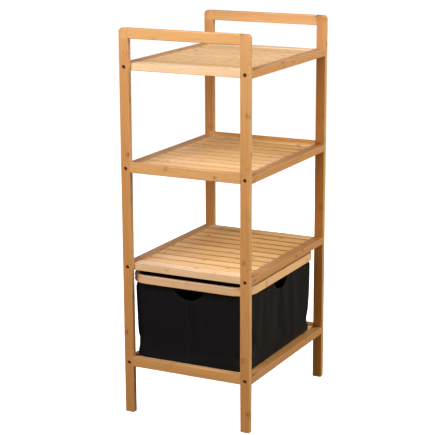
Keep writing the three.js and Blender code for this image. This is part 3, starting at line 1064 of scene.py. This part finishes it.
def bagShell():
    halfLength, halfBreadth = (bagHigh.x - bagLow.x) / 2, (bagHigh.y - bagLow.y) / 2
    floor = bagLow.z + 0.2 * mm
    rows = [(floor, inset, bag["footRadius"]) for inset in (24, 10, 3.2)]
    rows += [(floor + 1.0 * mm, 0.9, bag["footRadius"]), (floor + 3.2 * mm, 0, bag["footRadius"])]
    bottom = floor + 3.2 * mm
    for row in range(1, bag["rows"] + 1):
        z = bottom + (rimUnderside - bottom) * row / bag["rows"]
        radius = bag["footRadius"] + (bag["neckRadius"] - bag["footRadius"]) * row / bag["rows"]
        opening = smoothStep(1 - (rimUnderside - z) / (bag["gather"] * mm))
        rows.append((z, 0, radius + (bag["rimRadius"] - radius) * opening))
    for share in (0.35, 0.7, 1.0):
        rows.append((rimUnderside + (bagHigh.z - rimUnderside) * share, 0, bag["rimRadius"]))
    shape = bmesh.new()
    weave = shape.loops.layers.uv.new("weave")
    held = shape.verts.layers.deform.verify()
    loops = []
    for z, inset, radius in rows:
        loop = []
        columns = bagColumns(halfLength - inset * mm, halfBreadth - inset * mm, max(6, radius - inset) * mm)
        share = (z - bottom) / (rimUnderside - bottom)
        free = 0 < share < 1
        draw = 0
        if free:
            waist = bag["waist"]
            draw = (1 - share) / (1 - waist) if share > waist else smoothStep(share / waist)
        length = 0
        for number, (spot, normal, side, across, corner) in enumerate(columns):
            out = 0
            if free:
                out -= bag["drawIn"] * mm * draw * (bag["drawInSides"] + (1 - bag["drawInSides"]) * corner)
                edge = min(1.0, share * 6, (1 - share) * 5)
                out += edge * foldHeight(side, across, z)
                sway = noise.noise(Vector((spot[0] * 16, spot[1] * 16, z * 9)))
                out += edge * sway * bag["sway"] * mm
            if number:
                length += math.dist(spot, columns[number - 1][0])
            place = (bagMiddle.x + spot[0] + normal[0] * out, bagMiddle.y + spot[1] + normal[1] * out, z)
            vert = shape.verts.new(place)
            vert[held][0] = 0.0 if free else 1.0
            loop.append((vert, length))
        loops.append((loop, z, length + math.dist(columns[-1][0], columns[0][0])))
    for (loop, z, total), (following, above, nextTotal) in zip(loops, loops[1:]):
        for step in range(len(loop)):
            after = (step + 1) % len(loop)
            corners = [(loop[step], z), (loop[after], z), (following[after], above), (following[step], above)]
            face = shape.faces.new([corner[0][0] for corner in corners])
            for place, (link, (corner, height)) in enumerate(zip(face.loops, corners)):
                run = corner[1]
                if after == 0 and place in (1, 2):
                    run = total if place == 1 else nextTotal
                flat = above <= bottom
                link[weave].uv = corner[0].co.xy if flat else (run, height)
    piece = newPiece("basket_fabric_bag", shape)
    piece.vertex_groups.new(name="held")
    return piece


def relaxBag(piece):
    # the held rim and foot stay, the walls between settle under their own weight with a little slack
    before = coordinates(piece.data)
    cloth = piece.modifiers.new("cloth", "CLOTH")
    for key, value in bag["cloth"].items():
        setattr(cloth.settings, key, value)
    cloth.settings.vertex_group_mass = "held"
    cloth.settings.shrink_min = -bag["slack"]
    cloth.collision_settings.use_collision = False
    cloth.point_cache.frame_end = bag["simulationFrames"] + 1
    scene = bpy.context.scene
    for step in range(1, bag["simulationFrames"] + 1):
        scene.frame_set(step)
    depsgraph = bpy.context.evaluated_depsgraph_get()
    move = coordinates(piece.evaluated_get(depsgraph).data) - before
    piece.modifiers.clear()
    scene.frame_set(1)
    length = np.linalg.norm(move, axis=1, keepdims=True)
    print("cloth moved", round(float(length.max()) / mm, 2), "mm before its limit")
    places = before + move * np.minimum(1, bag["mostMove"] * mm / np.maximum(length, 1e-9))
    places[:, 2] = np.maximum(places[:, 2], before[:, 2].min())  # nothing sags below the bag's floor
    piece.data.vertices.foreach_set("co", places.astype(np.float32).ravel())
    piece.data.update()


def holeCircle():  # radius of a hand hole's curve, and its middle's height over the rim's underside
    half, deep = bag["holeWidth"] / 2, bag["holeDepth"]
    radius = (half * half + deep * deep) / (2 * deep)
    return radius, radius - deep


def holeArc(steps, grow=0):
    # the curved edge of a hand hole, from one end to the other: across and down from the rim
    radius, centre = holeCircle()
    start = math.atan2(-centre, -bag["holeWidth"] / 2)
    turns = [start + (-math.pi - 2 * start) * step / steps for step in range(steps + 1)]
    return [((radius + grow) * math.cos(turn), centre + (radius + grow) * math.sin(turn)) for turn in turns]


def turned(side, across, out, z):
    # a place on a side of the bag in the basket's own directions
    turn = sideTurns[side] * math.pi / 2
    x, y = across, -out
    return Vector((
        bagMiddle.x + x * math.cos(turn) - y * math.sin(turn),
        bagMiddle.y + x * math.sin(turn) + y * math.cos(turn),
        z,
    ))


def sideReach(side):
    return (bagHigh.y - bagLow.y) / 2 if side in ("front", "rear") else (bagHigh.x - bagLow.x) / 2


def openHandHoles(piece):
    # removes the faces inside the half-moons and draws the edges left onto the curve
    radius, centre = (value * mm for value in holeCircle())
    shape = bmesh.new()
    shape.from_mesh(piece.data)
    weave = shape.loops.layers.uv["weave"]
    lowest = min(vert.co.z for vert in shape.verts)
    brink = [e for e in shape.edges if e.is_boundary and e.verts[0].co.z < lowest + 1 * mm]
    for face in bmesh.ops.edgeloop_fill(shape, edges=brink)["faces"]:
        for link in face.loops:
            link[weave].uv = link.vert.co.xy
    for side in sideTurns:
        turn = Matrix.Rotation(-sideTurns[side] * math.pi / 2, 3, "Z")

        def local(place):  # across, outwards and up from the middle of the hole's flat side
            flat = turn @ (place - bagMiddle)
            return flat.x, -flat.y, place.z - rimUnderside

        inside = []
        for face in shape.faces:
            across, out, up = local(face.calc_center_median())
            if out > 0.1 and up < 0 and math.hypot(across, up - centre) < radius:
                inside.append(face)
        doomed = set(inside)
        edge = {v for f in inside for v in f.verts if any(g not in doomed for g in v.link_faces)}
        bmesh.ops.delete(shape, geom=inside, context="FACES")
        for vert in edge:
            across, out, up = local(vert.co)
            if up < -bag["holeTop"] * mm:  # those just under the rim stay where they are
                length = math.hypot(across, up - centre)
                move = Vector((across, 0, up - centre)) * (radius / length - 1)
                vert.co += turn.transposed() @ Vector((move.x, 0, 0)) + Vector((0, 0, move.z))
    shape.to_mesh(piece.data)
    shape.free()
    piece.data.update()


def onBag(surface, side, across, z, out=0.0):
    # the place on the bag's outside that faces a side, and its normal
    start = turned(side, across, sideReach(side) + 40 * mm, z)
    direction = (turned(side, across, 0, z) - start).normalized()
    hit, normal, _, _ = surface.ray_cast(start, direction)
    if hit is None:
        hit, normal = turned(side, across, sideReach(side), z), -direction
    if normal.dot(direction) > 0:
        normal = -normal
    return hit + normal * out, normal


def stripPiece(name, lines):
    # closed strips of cloth, each from rings of places
    shape = bmesh.new()
    weave = shape.loops.layers.uv.new("weave")
    for rings in lines:
        skinLoops(shape, [[shape.verts.new(place) for place in ring] for ring in rings], weave)
    bmesh.ops.recalc_face_normals(shape, faces=shape.faces)
    piece = newPiece(name, shape)
    smoothBelow(piece, 50)
    finishPiece(piece, "basket", wovenCloth)


def bindingRings(surface, side):
    # folded tape over a hand hole's curved edge
    rings = []
    width, thick, wall = (bag[key] * mm for key in ("bindingWidth", "bindingThickness", "wall"))
    radius, centre = holeCircle()
    outward = turned(side, 0, 1, 0) - turned(side, 0, 0, 0)
    outer = [(-0.12, 0.0), (-0.04, 0.7), (0.1, 1.0), (0.85, 1.0), (1.0, 0.6)]
    section = outer + [(share, -out) for share, out in outer[:0:-1]]  # shares of the width, and levels
    for across, up in holeArc(40)[1:-1]:
        x, z = across * mm, rimUnderside + (up - bag["bindingDrop"]) * mm
        away = Vector((across, up - centre)) / radius * width
        hit, _ = onBag(surface, side, x + away[0] * 1.2, z + away[1] * 1.2)
        reach = (hit - bagMiddle).dot(outward)
        ring = []
        for share, out in section:
            level = (thick * 0.5 + wall / 2) * out - wall / 2
            ring.append(turned(side, x + away[0] * share, reach + level, z + away[1] * share))
        rings.append(ring)
    return rings


def seamRings(surface, side, low, high):
    # a flat felled seam, a little proud of the wall
    half, thick = bag["seamWidth"] / 2, bag["seamThickness"]
    section = [(-1.0, 0.1), (-0.94, 0.9), (-0.5, 1.0), (0.0, 1.0), (0.5, 1.0), (0.94, 0.9), (1.0, 0.1)]
    places = [(share * half, out * thick) for share, out in section]
    places += [(share * half, -0.3) for share in (0.9, 0.0, -0.9)]  # its back, inside the wall
    rings = []
    for z in np.linspace(low, high, 41):
        rings.append([onBag(surface, side, across * mm, z, out * mm)[0] for across, out in places])
    return rings


def stitchTree():
    sockets = {"Geometry": "Geometry", "Pitch": "Float", "Stitch size": "Vector", "Finish": "Material"}
    tree, add, given = newTree("stitchRow", sockets)
    line = add("GeometryNodeMeshToCurve", (given["Geometry"],))[0]
    even = add("GeometryNodeResampleCurve", {"Curve": line, "Length": given["Pitch"]}, mode="LENGTH")[0]
    tangent = add("GeometryNodeInputTangent")[0]
    facing = add("FunctionNodeAlignRotationToVector", {"Vector": tangent}, axis="X")[0]
    bead = add("GeometryNodeMeshIcoSphere", {"Radius": 1.0, "Subdivisions": 1})[0]
    smooth = add("GeometryNodeSetShadeSmooth", (bead,))[0]
    placed = {"Points": even, "Instance": smooth, "Rotation": facing, "Scale": given["Stitch size"]}
    closeTree(add, add("GeometryNodeInstanceOnPoints", placed)[0], given["Finish"])
    return tree


def stitchPiece(name, lines):
    shape = bmesh.new()
    for line in lines:
        verts = [shape.verts.new(place) for place in line]
        for first, second in zip(verts, verts[1:]):
            shape.edges.new((first, second))
    radius = bag["stitchRadius"] * mm
    piece = runNodes(newPiece(name, shape), stitchTree(), {
        "Pitch": bag["stitchPitch"] * mm,
        "Stitch size": (bag["stitchLength"] / 2 * mm, radius, radius),
        "Finish": thread,
    })
    finishPiece(piece, "basket")


def makeShell():
    # the bag itself; gives back its outside without the hand holes, for what is sewn onto it
    piece = bagShell()
    relaxBag(piece)
    addModifier(piece, "finer", "SUBSURF", levels=1, render_levels=1, boundary_smooth="PRESERVE_CORNERS")
    settle(piece)
    surface = BVHTree.FromPolygons(
        [Vector(place) for place in coordinates(piece.data)],
        [tuple(face.vertices) for face in piece.data.polygons],
    )
    openHandHoles(piece)
    # the inner faces take the second material, the near-black lining that paints the shade inside the bag
    addModifier(piece, "wall", "SOLIDIFY", thickness=bag["wall"] * mm, offset=-1, material_offset=1)
    piece.data.materials.append(wovenCloth)
    piece.data.materials.append(paintedShadeLining)
    settle(piece)
    smoothBelow(piece, 40)
    finishPiece(piece, "basket", None, ["basket_bag"])
    print("bag has", len(piece.data.polygons), "faces")
    return surface


def makeBag():
    surface = makeShell()
    stripPiece("basket_hand_hole_bindings", [bindingRings(surface, side) for side in sideTurns])
    top = rimUnderside - (bag["holeDepth"] + bag["bindingWidth"] + 1) * mm
    foot = bagLow.z + 5 * mm
    stripPiece("basket_side_seams", [seamRings(surface, side, foot, top) for side in ("left", "right")])

    lines = []
    inset = bag["stitchInset"]
    edge, out = (bag["seamWidth"] / 2 - inset) * mm, (bag["seamThickness"] + 0.1) * mm
    for side in ("left", "right"):
        for across in (-edge, edge):
            heights = np.linspace(foot + 1 * mm, top - 1 * mm, 60)
            lines.append([onBag(surface, side, across, z, out)[0] for z in heights])
    level = (bag["bindingThickness"] / 2 + 0.05) * mm
    arc = holeArc(60, bag["bindingWidth"] - inset)
    arc = [(across * mm, (up - bag["bindingDrop"]) * mm) for across, up in arc]
    for side in sideTurns:
        spots = [(across, rimUnderside + up) for across, up in arc if up < -2 * mm]
        lines.append([onBag(surface, side, across, z, level)[0] for across, z in spots])
    stitchPiece("basket_stitching", lines)


makeBag()
print("bag made")


# A stiff board on the bag's floor keeps its shape.
baseBoard = {
    "cornerRadius": 27,
    "cornerSteps": 12,
    "ease": 0.8,
}


def makeBaseBoard():
    low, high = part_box("basket_base_board")
    middle, half = (low + high) / 2, (high - low) / 2
    radius, steps = baseBoard["cornerRadius"] * mm, baseBoard["cornerSteps"]
    corners = []
    for turn, (x, y) in enumerate(((1, -1), (1, 1), (-1, 1), (-1, -1))):
        for step in range(steps + 1):
            angle = math.pi / 2 * (turn - 1 + step / steps)
            corners.append((
                middle.x + x * (half.x - radius) + radius * math.cos(angle),
                middle.y + y * (half.y - radius) + radius * math.sin(angle),
                low.z,
            ))
    piece = newPiece("basket_floor_board", extruded(corners, (0, 0, high.z - low.z)))
    ease = baseBoard["ease"] * mm
    addModifier(piece, "ease", "BEVEL", width=ease, segments=2, limit_method="ANGLE")
    settleEvenly(piece)
    finishPiece(piece, "basket", fibreboard, ["basket_base_board"])


makeBaseBoard()
print("base board made")
